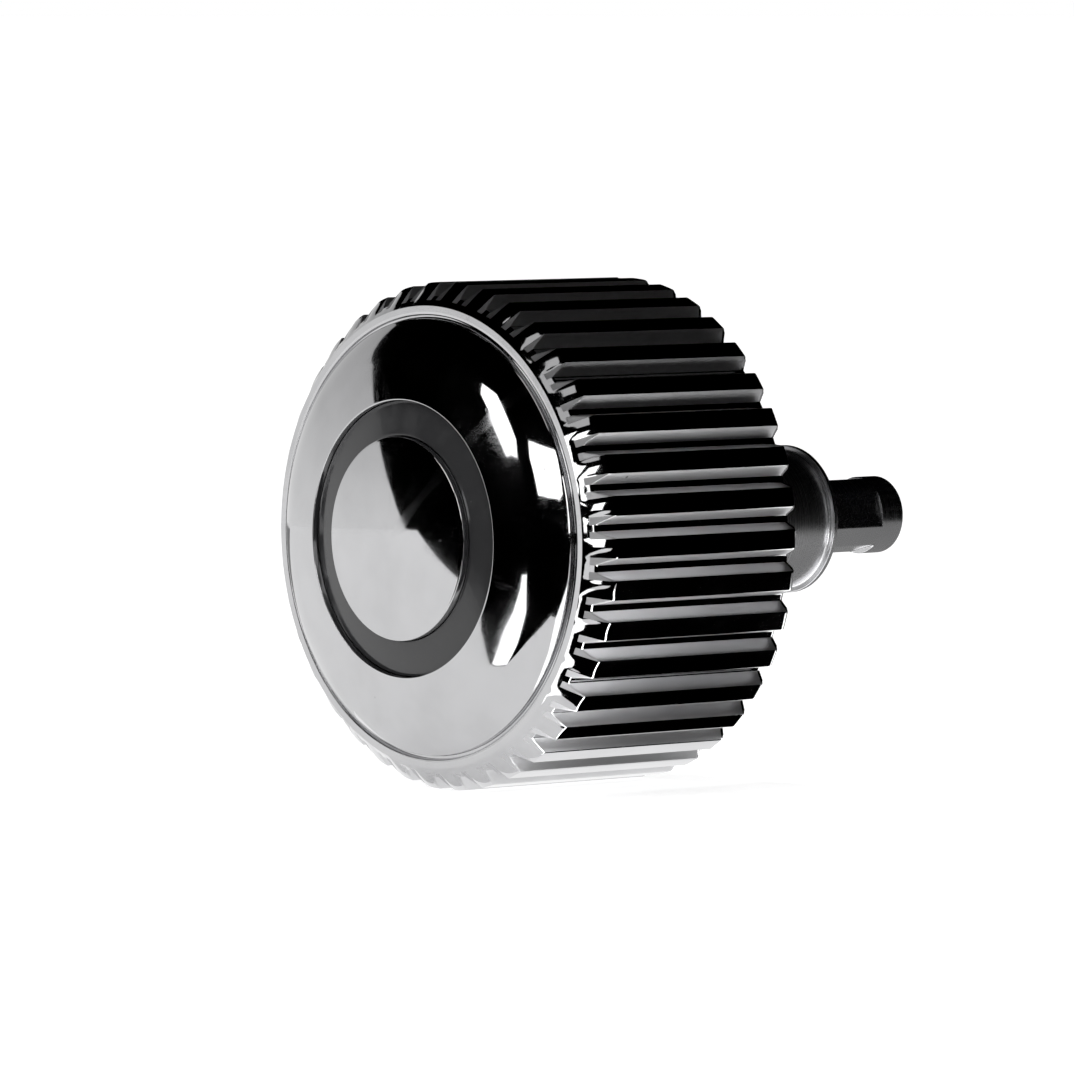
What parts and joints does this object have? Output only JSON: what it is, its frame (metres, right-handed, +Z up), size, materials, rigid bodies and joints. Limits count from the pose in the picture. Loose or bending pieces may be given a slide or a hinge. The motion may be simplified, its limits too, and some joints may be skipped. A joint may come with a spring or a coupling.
{
  "type": "watch crown",
  "caption": "Screw-down watch crown with a domed fluted head, a post for the case tube and a sprung, sliding stem coupler.",
  "frame": {"origin": "on the crown's axis, in the plane of the head's seat face, where it meets the watch case", "axes": "+Y along the axis from the seat face towards the stem, so the dome looks along -Y; +Z up"},
  "size_m": [0.007, 0.0092, 0.007],
  "materials": {
    "head_steel": "mirror polished stainless steel",
    "lacquer": "dark lacquer",
    "post_steel": "fine turned stainless steel",
    "bush_steel": "turned stainless steel",
    "coupler_steel": "fine turned stainless steel with milled flats",
    "spring_steel": "drawn spring wire",
    "washer_steel": "stamped stainless steel",
    "black_rubber": "satin nitrile rubber"
  },
  "bodies": {
    "crown": {"crown_head": "head_steel", "face_inlay": "lacquer", "post": "post_steel", "guide_bush": "bush_steel", "crown_gasket": "black_rubber", "gasket_washer": "washer_steel", "post_o_ring": "black_rubber", "coil_spring": "spring_steel"},
    "coupler": {"stem_coupler": "coupler_steel", "spring_washer": "washer_steel"}
  },
  "joints": [
    {"name": "coupler_slide", "type": "slide", "parent": "crown", "child": "coupler", "axis": [0, -1, 0], "range_m": [0, 0.00125], "stiffness_N_per_m": 1500, "deforming": ["coil_spring"]}
  ]
}
